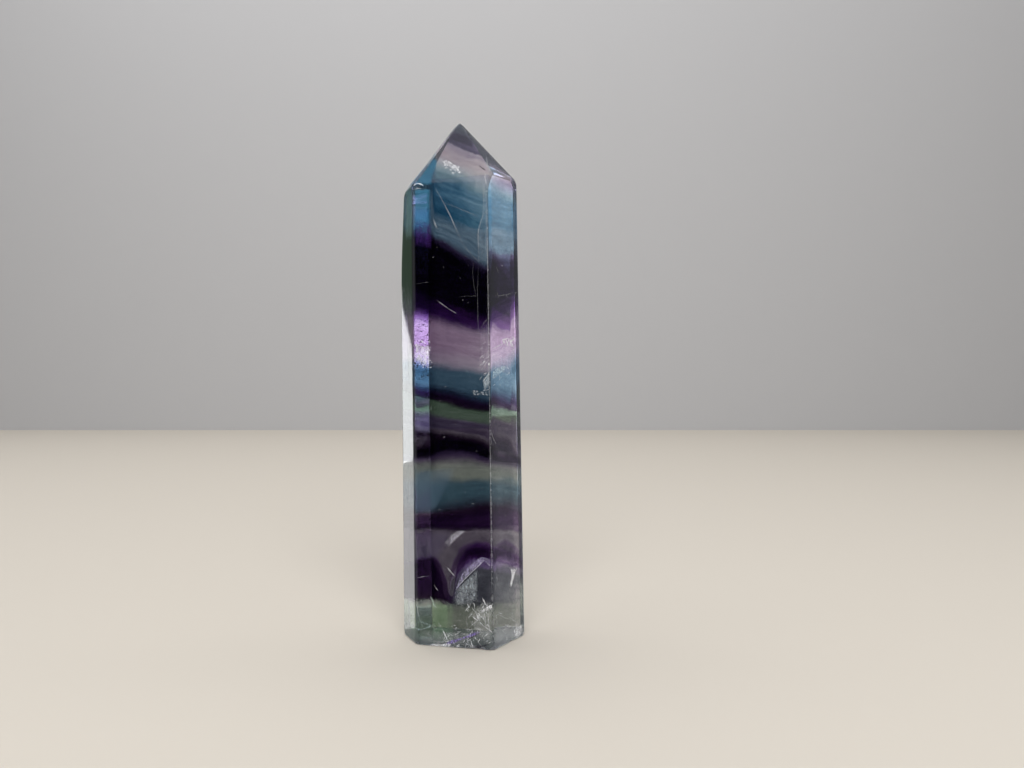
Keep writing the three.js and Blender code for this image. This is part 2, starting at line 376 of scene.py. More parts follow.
byHeight = {  # what changes up the stone: height in mm, and the value there
    # dip of the layers to the right, mm per mm, on the front and on the right flank
    "frontDip": [(0, 0.0), (22, 0.0), (26.5, -0.14), (31, 0.0), (36, 0.06), (39.4, 0.13), (42.4, 0.16),
                 (44.4, 0.17), (46.2, 0.32), (51.5, 0.12), (60, 0.27), (66, 0.42), (73.8, 0.60),
                 (78.2, 0.34), (82, 0.38), (85, 0.45), (88.2, 0.45), (94, 0.55), (100, 0.55)],
    "rightDip": [(0, 0.15), (22, 0.2), (31, 0.3), (42, 0.35), (46, 0.3), (51.5, 0.0), (60, -0.65),
                 (66, -0.4), (73.8, 0.0), (86, 0.2), (94, 0.5), (100, 0.5)],
    # mm that the layers rise past the front's right edge, and the tip's layers at the far left
    "edgeRise": [(0, 0.0), (36, 0.0), (39.4, 0.2), (42.2, 1.5), (44.6, 1.5), (46.2, 2.3), (51.5, 1.5),
                 (60, 2.0), (73.8, 3.3), (78.2, 0.8), (86, 0.0), (100, 0.0)],
    "leftRise": [(0, 0.0), (70, 0.0), (76, 0.9), (80, 1.3), (88, 4.5), (100, 4.5)],
    # arch of the layers, mm per mm squared
    "arch": [(0, 0.0), (31, 0.0036), (34.6, 0.025), (36.6, 0.038), (39.4, 0.007), (42, 0.0), (100, 0.0)],
    # mm that upright growth needles fray the layers, and more of it at the far left
    "needles": [(0, 1.1), (15, 1.1), (22, 0.4), (100, 0.4)],
    "leftNeedles": [(0, 0.0), (68, 0.0), (76, 2.2), (100, 2.2)],
    # strength of the dye: its clouds and wisps, the painted light and shade on the right flank, and what the
    # left and the front change
    "clouds": [(0, 0.85), (21, 0.85), (28, 0.55), (100, 0.55)],
    "wisps": [(0, 0.9), (66, 0.9), (76, 1.45), (100, 1.45)],
    # painted light and shade: how much the right flank's dye pales at each height, and below 0 how much it
    # deepens
    "flankPaintedLight": [(0, 0.74), (9, 0.66), (13, 0.52), (22, 0.52), (30, 0.36), (48, 0.35), (52, -0.15),
                   (58, -0.2), (62, 0.35), (72, 0.34), (75.5, 0.0), (80, -0.2), (83, -0.3), (85, -0.8),
                   (87.8, -0.9), (88.4, -1.8), (88.9, -1.8), (89.8, -0.7), (92.5, -0.1), (100, -0.05)],
    "leftDeeper": [(0, -0.1), (7, -0.35), (9.5, 0.3), (12, 0.5), (16, 0.5), (20, 0.28), (24, 0.0),
                   (28.5, -0.2), (31.5, 0.1), (33, 0.42), (36, 0.36), (48, 0.3), (100, 0.3)],
    "frontPaler": [(0, 0.0), (48, 0.0), (52, 0.28), (58, 0.28), (62, 0.0), (72, 0.0), (79, 0.28),
                   (86, 0.35), (89, 0.3), (92, 0.1), (100, 0.1)],
}
# height of the top of the two domes that the lowest layers make, by mm across
domeTop = [
    (-12, 15.0), (-9, 15.6), (-7.4, 16.6), (-5.9, 16.9), (-4.6, 16.3), (-3.7, 15.3), (-2.4, 12.2),
    (-1.5, 9.4), (-0.9, 12.6), (-0.4, 15.2), (0.4, 16.8), (2.2, 18.8), (4.6, 19.4), (6.0, 19.0),
    (8.4, 18.0), (12, 16.2),
]


def nodeTools(tree):
    # makers for one node tree: any node, sums, a mix of two colours, a smooth step, a curve through points,
    # a noise, the place on the piece and a value that the piece's mesh carries
    def add(kind, inputs=None, **settings):
        node = tree.nodes.new(kind)
        for key, value in settings.items():
            setattr(node, key, value)
        for key, value in (inputs or {}).items():
            if isinstance(value, bpy.types.NodeSocket):
                tree.links.new(value, node.inputs[key])
            else:
                node.inputs[key].default_value = value
        return node

    def maths(operation):
        def result(a, b=0.0, c=0.0):
            return add("ShaderNodeMath", {0: a, 1: b, 2: c}, operation=operation).outputs[0]
        return result

    n = SimpleNamespace(
        add=add, plus=maths("ADD"), minus=maths("SUBTRACT"), times=maths("MULTIPLY"), over=maths("DIVIDE"),
        timesPlus=maths("MULTIPLY_ADD"), atLeast=maths("MAXIMUM"), atMost=maths("MINIMUM"),
        above=maths("GREATER_THAN"), below=maths("LESS_THAN"))

    def mix(share, first, second):
        return add("ShaderNodeMix", {"Factor": share, 6: first, 7: second}, data_type="RGBA").outputs[2]

    def fade(value, start, end):
        # 0 at the start, 1 at the end
        limits = {"Value": value, "From Min": start, "From Max": end}
        return add("ShaderNodeMapRange", limits, interpolation_type="SMOOTHSTEP").outputs[0]

    def curve(value, points):
        # the node itself works from 0 to 1 both ways
        places = np.array(points, float)
        low, size = places.min(0), np.ptp(places, axis=0)
        node = add("ShaderNodeFloatCurve", {"Value": n.over(n.minus(value, low[0]), size[0])})
        line = node.mapping.curves[0]
        while len(line.points) < len(points):
            line.points.new(0.5, 0.5)
        for point, place in zip(line.points, (places - low) / size):
            point.location = place
            point.handle_type = "AUTO_CLAMPED"
        node.mapping.update()
        return n.timesPlus(node.outputs[0], size[1], low[1])

    def noise(place, stretch, detail, roughness):
        # from -0.5 to 0.5, stretched each way
        moved = add("ShaderNodeVectorMath", {0: place, 1: stretch}, operation="MULTIPLY").outputs[0]
        inputs = {"Vector": moved, "Scale": 1.0, "Detail": detail, "Roughness": roughness}
        return n.minus(add("ShaderNodeTexNoise", inputs).outputs[0], 0.5)

    def place():
        return add("ShaderNodeTexCoord").outputs["Object"]

    def carried(name, output="Fac"):
        return add("ShaderNodeAttribute", attribute_name=name).outputs[output]

    n.mix, n.fade, n.curve, n.noise, n.place, n.carried = mix, fade, curve, noise, place, carried
    return n


def layerRamp(n, height, stops):
    # colour at a height: colour ramps one after another, each from its first stop to its last
    colour, most = None, growth["rampStops"]
    for first in range(0, len(stops) - 1, most - 1):
        part = stops[first:first + most]
        low, high = part[0][0], part[-1][0]
        node = n.add("ShaderNodeValToRGB", {"Fac": n.over(n.minus(height, low), high - low)})
        elements = node.color_ramp.elements
        while len(elements) < len(part):
            elements.new(1.0)
        for element, (at, _) in zip(elements, part):
            element.position = (at - low) / (high - low)
        for element, (_, name) in zip(elements, part):
            element.color = (*tints[name], 1.0)
        ramp = node.outputs[0]
        colour = ramp if colour is None else n.mix(n.above(height, low), colour, ramp)
    return colour


def layerHeight(n, inMm, x, across, z, wander):
    # z + front dip * x - rise + dip past the front's right edge - rise at the far left + arch * x^2,
    # or the domes near the foot where they are higher, + slow wander + fray of the needles, all in mm
    def at(name):
        return n.curve(z, byHeight[name])

    turn, soft, domeFoot = growth["turnAt"], growth["turnSoftness"], growth["domeFoot"]
    farLeft = n.fade(x, *growth["farLeft"])
    layer = n.timesPlus(at("frontDip"), n.atMost(x, turn), z)
    layer = n.minus(layer, n.times(n.fade(x, turn - soft, turn + soft), at("edgeRise")))
    layer = n.timesPlus(at("rightDip"), n.atLeast(n.minus(x, turn), 0.0), layer)
    layer = n.minus(layer, n.times(farLeft, at("leftRise")))
    layer = n.timesPlus(at("arch"), n.atMost(n.times(x, x), growth["archWidest"]), layer)
    # under the domes the layers are squeezed between the dome's top and its level foot
    overFoot = n.minus(z, domeFoot)
    share = n.over(overFoot, n.minus(n.curve(across, domeTop), domeFoot))
    domed = n.timesPlus(n.atLeast(share, 0.0), growth["domeRise"], domeFoot)
    domed = n.plus(domed, n.atMost(overFoot, 0.0))
    layer = n.atLeast(n.atMost(domed, growth["domeClosed"]), layer)
    swing = n.times(n.noise(inMm, *grain["swing"]), growth["swingBy"])
    layer = n.timesPlus(swing, wander, layer)
    fray = n.times(n.noise(inMm, *grain["fray"]), growth["frayBy"])
    return n.timesPlus(fray, n.timesPlus(farLeft, at("leftNeedles"), at("needles")), layer)


def dyeStrength(n, inMm, x, z, stripe):
    # 1 + clouds + specks + wisps - painted light and shade on the right flank + deeper left edge - paler
    # across the front
    def at(name):
        return n.curve(z, byHeight[name])

    strength = n.timesPlus(n.noise(inMm, *grain["clouds"]), at("clouds"), 1.0)
    strength = n.timesPlus(n.noise(inMm, *grain["specks"]), growth["specksBy"], strength)
    strength = n.timesPlus(stripe, at("wisps"), strength)
    # painted light and shade: the right flank's dye pales, and at some heights deepens
    strength = n.minus(strength, n.times(n.fade(x, *growth["rightFlank"]), at("flankPaintedLight")))
    strength = n.plus(strength, n.times(n.fade(x, *growth["leftEdge"]), at("leftDeeper")))
    return n.minus(strength, n.times(n.fade(x, *growth["acrossFront"]), at("frontPaler")))


def growthGroup():
    # the tint is read off the list of layers at the layer's height, and raised to the strength of the dye
    group = bpy.data.node_groups.new("growthLayers", "ShaderNodeTree")
    group.interface.new_socket("Wander", in_out="INPUT", socket_type="NodeSocketFloat")
    group.interface.new_socket("Tint", in_out="OUTPUT", socket_type="NodeSocketColor")
    n = nodeTools(group)
    wander = n.add("NodeGroupInput").outputs["Wander"]
    inMm = n.add("ShaderNodeVectorMath", {0: n.place(), "Scale": 1 / mm}, operation="SCALE").outputs[0]
    x, y, straightZ = n.add("ShaderNodeSeparateXYZ", {0: inMm}).outputs
    behind = n.minus(y, growth["frontAt"])
    fanned = n.times(n.minus(straightZ, growth["fanHeight"]), behind)
    z = n.timesPlus(fanned, -1 / growth["fan"], straightZ)
    across = n.timesPlus(behind, growth["domeSkew"], x)
    layer = layerHeight(n, inMm, x, across, z, wander)

    # fine stripes that run along the layers
    along = n.add("ShaderNodeCombineXYZ", {0: x, 1: y, 2: layer}).outputs[0]
    stripe = n.noise(along, *grain["stripes"])
    striped = n.timesPlus(stripe, growth["stripesBy"], layer)
    underTop = n.below(striped, domeLayers[-1][0])
    inDome = n.times(n.fade(across, *growth["domeEdge"]), underTop)
    band = n.mix(inDome, layerRamp(n, striped, layers), layerRamp(n, striped, domeLayers))
    tint = n.add("ShaderNodeGamma", {"Color": band, "Gamma": dyeStrength(n, inMm, x, z, stripe)})
    n.add("NodeGroupOutput", {"Tint": tint.outputs[0]})
    return group


def emptyMaterial(name):
    material = bpy.data.materials.new(name)
    material.use_nodes = True
    material.node_tree.nodes.clear()
    return material, nodeTools(material.node_tree)


fluorite = {
    "ior": 1.434,
    "transmission": 0.93,
    "absorb": (0.72, 0.76, 0.86, 1.0),
    "density": 14.0,
    "roughness": 0.035,
    "smear": ((90.0, 90.0, 90.0), 5.0, 0.65),  # noise of the duller clouds in the polish
    "smearFrom": 0.02,
    "smearRoughness": 0.25,
    "sawnRoughness": 0.55,
    "chipRoughness": 0.5,
    "frostColour": (0.82, 0.82, 0.86, 1.0),
    "frostCover": 0.8,
    "grit": ((2600.0, 2600.0, 2600.0), 3.0, 0.7),
    "nickedFrom": 0.06,  # a worn edge is nicked where the grit is above this, and frosted this much
    "nickedFrost": 0.55,
    "gritRelief": 1.2,
    "scratches": ((0.35, 0.03), (-0.9, 0.02)),  # turn of each set of polishing marks, how drawn out they are
    "scratchTilt": 0.4,
    "scratchScale": 3200.0,
    "scratchNoise": ((1.0, 1.0, 1.0), 1.0, 0.5),
    "scratchFrom": 0.23,
    "scratchDepth": -0.25,
    "bump": {"Strength": 0.35, "Distance": 0.02 * mm},
}


def fluoriteMaterial():
    # polished see-through stone: banded tint, faint polishing marks, frosted chips and rubbed edges
    material, n = emptyMaterial("banded_fluorite")
    bands = n.add("ShaderNodeGroup", node_tree=growthGroup())
    bands.inputs["Wander"].default_value = growth["wander"]
    place = n.place()
    grit = n.noise(place, *fluorite["grit"])
    nicked = n.times(n.carried("edgeWear"), n.above(grit, fluorite["nickedFrom"]))
    frost = n.atLeast(n.carried("chipped"), n.times(nicked, fluorite["nickedFrost"]))
    cover = n.times(frost, fluorite["frostCover"])
    colour = n.mix(cover, bands.outputs["Tint"], fluorite["frostColour"])
    smear = n.atLeast(n.minus(n.noise(place, *fluorite["smear"]), fluorite["smearFrom"]), 0.0)
    rough = n.timesPlus(smear, fluorite["smearRoughness"], fluorite["roughness"])
    rough = n.timesPlus(frost, fluorite["chipRoughness"], rough)
    rough = n.timesPlus(n.carried("sawn"), fluorite["sawnRoughness"], rough)
    relief = n.times(n.times(grit, frost), fluorite["gritRelief"])
    tilt, scale = fluorite["scratchTilt"], fluorite["scratchScale"]
    for turn, drawn in fluorite["scratches"]:
        turned = n.add("ShaderNodeMapping", {"Vector": place, "Rotation": (tilt, turn, turn),
                                             "Scale": (scale, scale, scale * drawn)})
        lines = n.above(n.noise(turned.outputs[0], *fluorite["scratchNoise"]), fluorite["scratchFrom"])
        relief = n.timesPlus(lines, fluorite["scratchDepth"], relief)
    bump = n.add("ShaderNodeBump", {"Height": relief, **fluorite["bump"]})
    shader = n.add("ShaderNodeBsdfPrincipled", {
        "Base Color": colour, "Roughness": rough, "IOR": fluorite["ior"],
        "Transmission Weight": fluorite["transmission"], "Normal": bump.outputs[0]})
    absorb = n.add("ShaderNodeVolumeAbsorption", {
        "Color": fluorite["absorb"], "Density": fluorite["density"]})
    n.add("ShaderNodeOutputMaterial", {"Surface": shader.outputs[0], "Volume": absorb.outputs[0]})
    return material


# flaws in the polish: hairline cracks and scuffs, frosted flakes and clouded veils, with a few lines and
# sheets among them that are painted highlight, glow and reflection

flaws = {
    "steps": 14,  # points along a hairline
    "sheet": (22, 12),  # points along and across a flake
    "thin": 0.014 * mm,  # thickness of a flake
    "lift": 0.01 * mm,  # what a flaw stands proud of its flat, so that the polish shows it
    "margin": 0.1 * mm,  # kept free along the edges
    "proud": 0.012 * mm,  # most half thickness of a hairline, and its share of the half width
    "thickness": 0.4,
    "finest": 0.004 * mm,  # least half width
    "fine": 0.62,  # share of the widths and strengths below that looks right on the polish
    "weak": 0.7,
    "wobble": (0.8, 0.35),  # a hairline's middle width, and how much it swings
    "wobbleWaves": (9.0, 2.3),  # radians along a hairline, and from one hairline to the next
    "fadeAlong": 0.14,  # shares of a flake over which it fades: at its ends, first and second edge
    "fadeFirst": 0.08,
    "fadeSecond": 0.22,
    "chance": 11,  # start of the random numbers
    "slantSpread": 9,  # scatter of the scuffs: degrees of slant, pixels of bend, share of strength
    "bendSpread": 0.25,
    "weights": (0.4, 1.0),
    "roughness": 0.6,
    "specular": 0.2,
}
white, violet, dark = (0.93, 0.94, 0.97), (0.20, 0.14, 0.42), (0.02, 0.015, 0.03)

# hairlines: flat, strength, width in mm, places in the picture as x, y pairs in pixels,
# and colour if not white
hairlines = [
    # painted highlight: a white line down the front's right edge, where the edge glints
    ("front", 0.75, 0.09, [487.2, 186, 488, 262, 489.6, 330, 490.2, 420, 491.2, 520, 491.6, 590]),
    ("front", 0.4, 0.16, [483.5, 187, 483, 215, 480, 224, 478, 231, 478.5, 262]),
    ("front", 0.13, 0.12, [478.5, 262, 477.5, 290, 478, 326, 479, 345, 482, 383]),
    ("front", 0.1, 0.09, [474, 262, 472.5, 272, 474, 286, 476, 296]),
    ("front", 0.4, 0.2, [435, 187.5, 441, 198, 449, 213, 457, 231, 463, 244]),
    ("front", 0.22, 0.16, [463, 244, 470, 253, 478, 261]),
    ("front", 0.25, 0.12, [445, 203, 458, 208, 470, 213, 479, 217]),
    ("front", 0.35, 0.35, [433.5, 219, 435, 224, 437.5, 229]),
    ("front", 0.44, 0.16, [437, 300.5, 451, 310.5, 457, 313.5]),
    ("front", 0.09, 0.1, [458, 297, 466, 296, 478, 296.5]),
    ("right", 0.22, 0.1, [492, 297, 505, 295, 519, 291.5]),
    ("front", 0.1, 0.1, [416, 284, 422, 283, 429, 282]),
    ("front", 0.25, 0.12, [479.5, 329, 485, 322, 490, 316]),
    ("front", 0.24, 0.12, [481, 339.5, 485.5, 335, 490, 331.5]),
    ("front", 0.4, 0.16, [481.5, 358.5, 486, 355, 490.3, 351]),
    ("front", 1.3, 0.6, [490.6, 362.6, 490.9, 364, 491, 365.6]),
    ("front", 0.55, 0.22, [482.5, 381.5, 486, 377, 490.5, 371.5]),
    ("right", 0.45, 0.2, [491.5, 371, 494, 368.5, 497, 367]),
    ("right", 0.6, 0.16, [491.5, 379.5, 495, 377, 499, 374]),
    ("right", 0.55, 0.14, [499, 374.5, 500, 378, 499, 381]),
    ("front", 0.55, 0.14, [484, 378, 485, 383, 486, 387]),
    ("front", 0.45, 0.12, [471, 391, 476, 392.5, 480, 394, 486, 393, 490, 391]),
    ("right", 0.7, 0.2, [492.5, 349, 499, 345.5, 516.5, 338]),
    ("right", 0.8, 0.18, [503, 341, 506, 344, 508, 347]),
    ("right", 0.8, 0.18, [508.5, 338.5, 511.5, 343]),
    ("right", 0.7, 0.16, [491.3, 432, 493, 438, 496, 444]),
    ("right", 0.6, 0.14, [491.3, 438, 491.8, 445]),
    ("front", 0.85, 0.28, [447.5, 567.5, 450.5, 571.5, 454.5, 576]),
    ("front", 0.45, 0.2, [434, 585, 436, 588, 438.5, 591]),
    ("front", 0.4, 0.14, [417, 578, 423, 576.5, 430, 576]),
    ("front", 0.8, 0.2, [456.5, 588, 463, 581, 472, 572, 484, 560.5]),
    ("front", 0.5, 0.16, [486, 562, 488.5, 564.5, 491, 566.5]),
    ("front", 0.9, 0.3, [482, 597.5, 487, 606.5]),
    ("front", 0.65, 0.18, [471.5, 607, 476, 613, 481, 620]),
    ("front", 0.6, 0.16, [466, 630.5, 473, 624, 481, 618]),
    ("front", 0.45, 0.14, [466.5, 615.5, 466.8, 622, 468, 632]),
    ("front", 0.45, 0.14, [466.5, 616, 472, 616.5, 476, 617]),
    ("front", 0.8, 0.34, [476.5, 614, 478, 618, 480, 621]),
    ("front", 0.7, 0.22, [484.5, 613, 485.5, 620, 486, 627]),
    ("front", 0.85, 0.3, [483, 625.5, 488, 629, 493, 633]),
    ("front", 0.7, 0.24, [477, 627.5, 479, 629.5, 481.5, 631.5]),
    ("front", 0.55, 0.16, [488, 612, 488.5, 622, 490, 640]),
    ("front", 0.3, 0.14, [456, 620.5, 460, 620.5, 463, 621]),
    ("front", 0.7, 0.4, [442.5, 629.5, 445, 635, 447.5, 640]),
    ("front", 0.55, 0.25, [436, 642, 443, 642, 452, 640.5]),
    ("front", 0.4, 0.25, [428, 632, 430, 636, 431, 640]),
    ("right", 0.55, 0.16, [493.3, 606, 494, 620, 494.3, 640]),
    ("right", 0.45, 0.18, [494, 629, 496.5, 632, 498, 633]),
    ("right", 1.3, 1.1, [511.8, 569, 512.8, 575, 512.2, 580, 510.8, 586]),
    ("right", 1.1, 0.45, [513, 580, 514.5, 574, 516.5, 568]),
    ("right", 0.6, 0.2, [513.5, 587, 515, 590, 517, 592.5], violet),
    ("right", 0.3, 0.16, [508.5, 590, 508.8, 605, 508, 625]),
    ("front", 0.95, 1.1, [444, 645, 452, 642, 472, 635, 480, 632], violet),
    ("front", 0.7, 0.4, [463, 640, 472, 637, 481, 633], dark),
    ("front", 0.75, 0.8, [474, 647, 481, 646.5, 487, 645], dark),
    ("frontFacet", 1.3, 0.34, [479.3, 165.6, 482, 168, 485.2, 170.4], dark),
    ("rightFacet", 0.55, 0.26, [486.6, 156, 487, 162, 488, 168]),
    ("frontFacet", 0.4, 0.3, [485, 172, 485, 178, 486.4, 184]),
    ("frontFacet", 1.3, 0.4, [413.5, 186, 415, 184.2, 418, 183.4, 421, 184.2, 423.5, 186]),
    ("front", 0.7, 0.2, [414.5, 190, 417, 188.2, 421, 188.6]),
]
# flakes: flat, strength, colour, and the two edges that the flake spans, as x, y pairs in the picture
flakes = [
    ("front", 0.2, (0.80, 0.79, 0.90),
     [444, 543, 450, 536, 457, 531, 465, 530.5], [448, 548, 459, 537, 466, 531]),
    ("front", 0.27, (0.52, 0.48, 0.70), [454, 604, 456, 588, 461, 575, 470, 565, 481, 556.5, 492, 559],
     [454, 605, 457, 590, 463, 581.5, 472, 572.5, 484, 561.5, 492, 566]),
    ("front", 0.17, (0.72, 0.80, 0.86), [457, 589, 478, 568], [454, 606, 461, 606, 469, 605, 478, 602]),
    ("front", 0.7, white,
     [480, 612, 484, 608.5, 489, 605.5, 493.2, 603.5], [481, 613.5, 490, 609.5, 493.2, 608]),
    ("front", 0.1, white,
     [472, 614, 478, 606, 485, 602, 492.5, 601], [474, 640, 480, 643, 486, 645, 492.8, 644]),
    ("frontFacet", 0.26, white,
     [441, 161, 447, 159.5, 455, 164.5, 463, 173], [443, 164, 449, 167, 455, 171.5, 462, 175]),
    ("front", 0.35, (0.75, 0.92, 0.78),
     [430, 596, 433, 606, 436, 609], [431, 596, 434, 601, 436, 606, 437, 609]),
    ("right", 0.9, white,
     [510, 568, 511.5, 573, 511, 580, 509.5, 587], [515, 567, 515.5, 573, 514, 579, 511, 588]),
    ("front", 0.13, (0.86, 0.92, 0.97),
     [482.5, 381, 485, 377.5, 488, 373, 490, 369], [484, 390, 489, 386, 490.4, 384]),
    ("right", 0.34, (0.66, 0.80, 0.88),
     [491.8, 372.5, 496, 369, 501, 366.5, 507, 365], [491.8, 380, 496, 376.5, 501, 373.5, 507, 369]),
    ("front", 0.42, (0.045, 0.014, 0.13),
     [414.5, 220, 420, 220, 425, 221, 432, 223], [414.5, 246, 420, 247, 425, 248, 432, 250]),
    ("front", 0.36, white,
     [415.5, 343, 420, 345, 425, 346, 430, 346], [415.5, 361, 420, 364, 425, 366, 430, 367]),
    ("front", 0.07, (0.84, 0.87, 0.90),
     [417, 628, 436, 631, 455, 632, 476, 632], [418, 642, 437, 645.5, 456, 646, 476, 646]),
    ("right", 0.13, (0.84, 0.86, 0.90),
     [493.5, 630, 502, 628, 511, 625, 521, 620], [493.8, 646, 503, 642, 512, 638, 521, 633]),
    ("left", 0.2, (0.84, 0.86, 0.88),
     [403.4, 612, 403.8, 619, 404.4, 626, 405.4, 633], [411.5, 612, 411.8, 639]),
    ("front", 0.95, white,
     [428, 645, 435, 644, 443, 644, 452, 643], [430, 648, 436, 649, 443, 649, 450, 648]),
    ("right", 0.62, white, [513, 629, 519, 626, 522, 624], [514, 638, 517, 637, 520, 635.5, 523, 633]),
]
veils = [  # clouds under the polish, and some sheets of painted glow and reflection, given like the flakes
    ("front", 0.18, (0.80, 0.88, 0.86),
     [416, 598, 417, 610, 419, 621, 424, 631], [419, 614, 421, 623, 426, 632, 432, 639]),
    ("front", 0.1, (0.55, 0.50, 0.64),
     [479.5, 327, 480, 345, 481, 362, 482, 380], [490, 319, 490, 356, 490.2, 372]),
    ("front", 0.06, (0.80, 0.90, 1.0),
     [483.5, 187, 483, 215, 478.5, 230, 478.5, 264], [487, 187, 488, 215, 488.5, 240, 488.5, 266]),
    ("rightFacet", 0.4, (0.13, 0.14, 0.19),
     [464, 130.2, 471, 141, 479, 153.5, 486.5, 165], [465, 130, 478, 143.5, 493, 158.5, 508, 174]),
    ("rightFacet", 0.24, (0.56, 0.50, 0.66),
     [489, 167.5, 503, 173.5, 509, 176], [487, 161, 494, 164, 500, 167.5, 506, 173]),
    ("frontFacet", 0.5, (0.06, 0.27, 0.46),
     [435, 157, 428, 166, 414, 185], [438, 159, 436, 168, 433.5, 177, 432, 185.5]),
    ("leftFacet", 0.5, (0.06, 0.25, 0.44), [440, 149, 407, 188], [443, 151, 434, 163, 424, 176, 413, 187]),
    ("leftFacet", 0.5, (0.24, 0.22, 0.32),
     [458, 127, 451, 136, 443, 146, 434, 157], [459, 127, 452, 139, 445, 149, 437, 160]),
    # painted reflection: a pale teal sheet high on the left side, where that side mirrors a greener corner
    ("left", 0.16, (0.42, 0.72, 0.70),
     [406.5, 190, 405.5, 222, 405, 240], [413, 190, 412.6, 222, 412.4, 240]),
    # painted glow: blue sheets on the left strip of the front, for light seen through the stone there
    ("front", 0.58, (0.06, 0.27, 0.46), [414.5, 189, 414.5, 212], [431, 188, 431, 212]),
    ("front", 0.28, (0.05, 0.40, 0.85), [414.5, 208, 414.5, 229], [431, 208, 431, 227]),
    ("right", 0.3, (0.34, 0.43, 0.52),
     [489.8, 175, 490.5, 200, 491, 228, 491.2, 256], [514, 180, 514.8, 205, 515.5, 231, 516, 257]),
    # a bluish and a dusky sheet that tone the left strip of the front
    ("front", 0.36, (0.105, 0.175, 0.255),
     [414.5, 468, 414.5, 514], [459, 467, 452, 482, 444, 497, 434, 513]),
    ("front", 0.38, (0.115, 0.095, 0.17),
     [414.5, 531, 414.5, 562], [454, 531, 451, 540, 446, 549, 440, 558]),
    ("front", 0.22, (0.62, 0.72, 0.78),
     [482.5, 382, 485, 378, 488, 373, 490, 368], [484, 391, 489, 387, 490.4, 384]),
    ("front", 0.58, (0.12, 0.165, 0.13),
     [415.5, 616, 416, 623, 418, 637], [433, 613, 433.5, 621, 434.5, 639]),
]
# patches of short scuffs: flat, how many, the picture area that they lie in, slants in degrees,
# lengths in pixels, widths in mm, strength, and colour if not white
scuffs = [
    ("front", 60, (467, 491), (603, 647), (-52, 38, 75), (2, 7.5), (0.07, 0.2), 1.1),
    ("front", 26, (432, 470), (633, 648), (-60, 10, 30), (3, 9), (0.08, 0.22), 0.7),
    ("front", 10, (419, 440), (600, 626), (60, 75), (4, 9), (0.07, 0.16), 0.3),
    ("front", 18, (480, 489), (342, 392), (-48, -40), (3, 8), (0.07, 0.2), 1.0),
    ("right", 30, (503, 514), (337.5, 346), (-35, 45, 75), (1.5, 4), (0.18, 0.42), 1.6),
    ("right", 22, (492, 515), (344, 388), (-38, 45, -30), (1.5, 5), (0.07, 0.2), 0.9),
    ("right", 20, (495, 521), (565, 638), (-60, 80, 30), (2, 7), (0.06, 0.16), 0.5),
    ("front", 42, (436, 489), (624, 648), (-20, 12, 55, -60), (1.5, 6), (0.07, 0.22), 0.9),
    ("right", 34, (494, 521), (612, 640), (-25, 20, 70), (2, 8), (0.07, 0.22), 0.9),
    ("left", 12, (404, 411), (600, 634), (80, -70, 20), (2, 6), (0.07, 0.2), 0.8),
    ("right", 10, (494, 516), (190, 300), (70, 85), (3, 10), (0.06, 0.14), 0.3),
    ("front", 70, (415, 432), (340, 368), (10, 80, -40), (0.8, 2.2), (0.14, 0.34), 1.5),
    ("front", 22, (415, 430), (321, 343), (15, -15, 60), (1.2, 3.6), (0.25, 0.5), 1.5, dark),
    ("front", 36, (415, 433), (356, 380), (10, 80, -40), (0.9, 2.4), (0.25, 0.55), 1.5, dark),
    ("front", 44, (417, 486), (190, 630), (10, 80, -40), (0.9, 2.2), (0.08, 0.2), 0.45),
    ("right", 16, (493, 516), (200, 560), (10, 80, -40), (0.9, 2.2), (0.08, 0.2), 0.5),
    ("front", 16, (470, 488), (389, 395), (5, 20), (0.9, 2.2), (0.12, 0.28), 1.2),
    ("frontFacet", 12, (443, 452), (160, 168), (35, 70, -20), (1.5, 4), (0.12, 0.3), 1.3),
    ("frontFacet", 12, (451, 461), (166, 174), (35, 70, -20), (1.5, 4), (0.12, 0.3), 1.1),
]


def scuffLines():
    # straight strokes at random places of their patch, with the same random numbers every time
    chance = np.random.default_rng(flaws["chance"])
    lines = []
    for flat, count, acrossRange, downRange, slants, lengths, widths, strength, *colour in scuffs:
        middle = np.stack([chance.uniform(*acrossRange, count), chance.uniform(*downRange, count)], -1)
        slant = np.radians(chance.choice(slants, count) + chance.normal(0, flaws["slantSpread"], count))
        reach = chance.uniform(*lengths, count)[:, None] / 2 * np.stack([np.cos(slant), np.sin(slant)], -1)
        bend = chance.normal(0, flaws["bendSpread"], (count, 2))
        width = chance.uniform(*widths, count)
        weight = strength * chance.uniform(*flaws["weights"], count)
        paths = np.stack([middle - reach, middle + bend, middle + reach], 1)
        lines += [(flat, weight[k], width[k], paths[k], *colour) for k in range(count)]
    return lines


def onFlat(name, places):
    # picture places, seen from the camera, on one of the stone's flats and just proud of it;
    # what runs past another flat is drawn back along its own
    flat = facet[name.removesuffix("Facet")] if name.endswith("Facet") else side[name]
    normal = normals[flat]
    offset = (places - view["middle"]) / view["focalPixels"]
    way = np.stack([offset[..., 0], np.ones(offset.shape[:-1]), -offset[..., 1]], -1)
    eye = np.array(view["from"])
    reach = (depths[flat] + flaws["lift"] - eye @ normal) / (way @ normal)
    points = eye + way * reach[..., None]
    for other in range(len(depths)):
        inPlane = normals[other] - (normals[other] @ normal) * normal
        steep = inPlane @ inPlane
        if steep > tiny:
            over = np.maximum(points @ normals[other] - depths[other] + flaws["margin"], 0)
            points = points - (over / steep)[..., None] * inPlane
    return points, normal


def alongPath(places, count):
    # evenly spaced places along a bent line, given as x, y, x, y and so on
    places = np.reshape(places, (-1, 2))
    run = np.append(0, np.cumsum(np.linalg.norm(np.diff(places, axis=0), axis=1)))
    at = np.linspace(0, run[-1], count)
    return np.stack([np.interp(at, run, places[:, 0]), np.interp(at, run, places[:, 1])], -1)


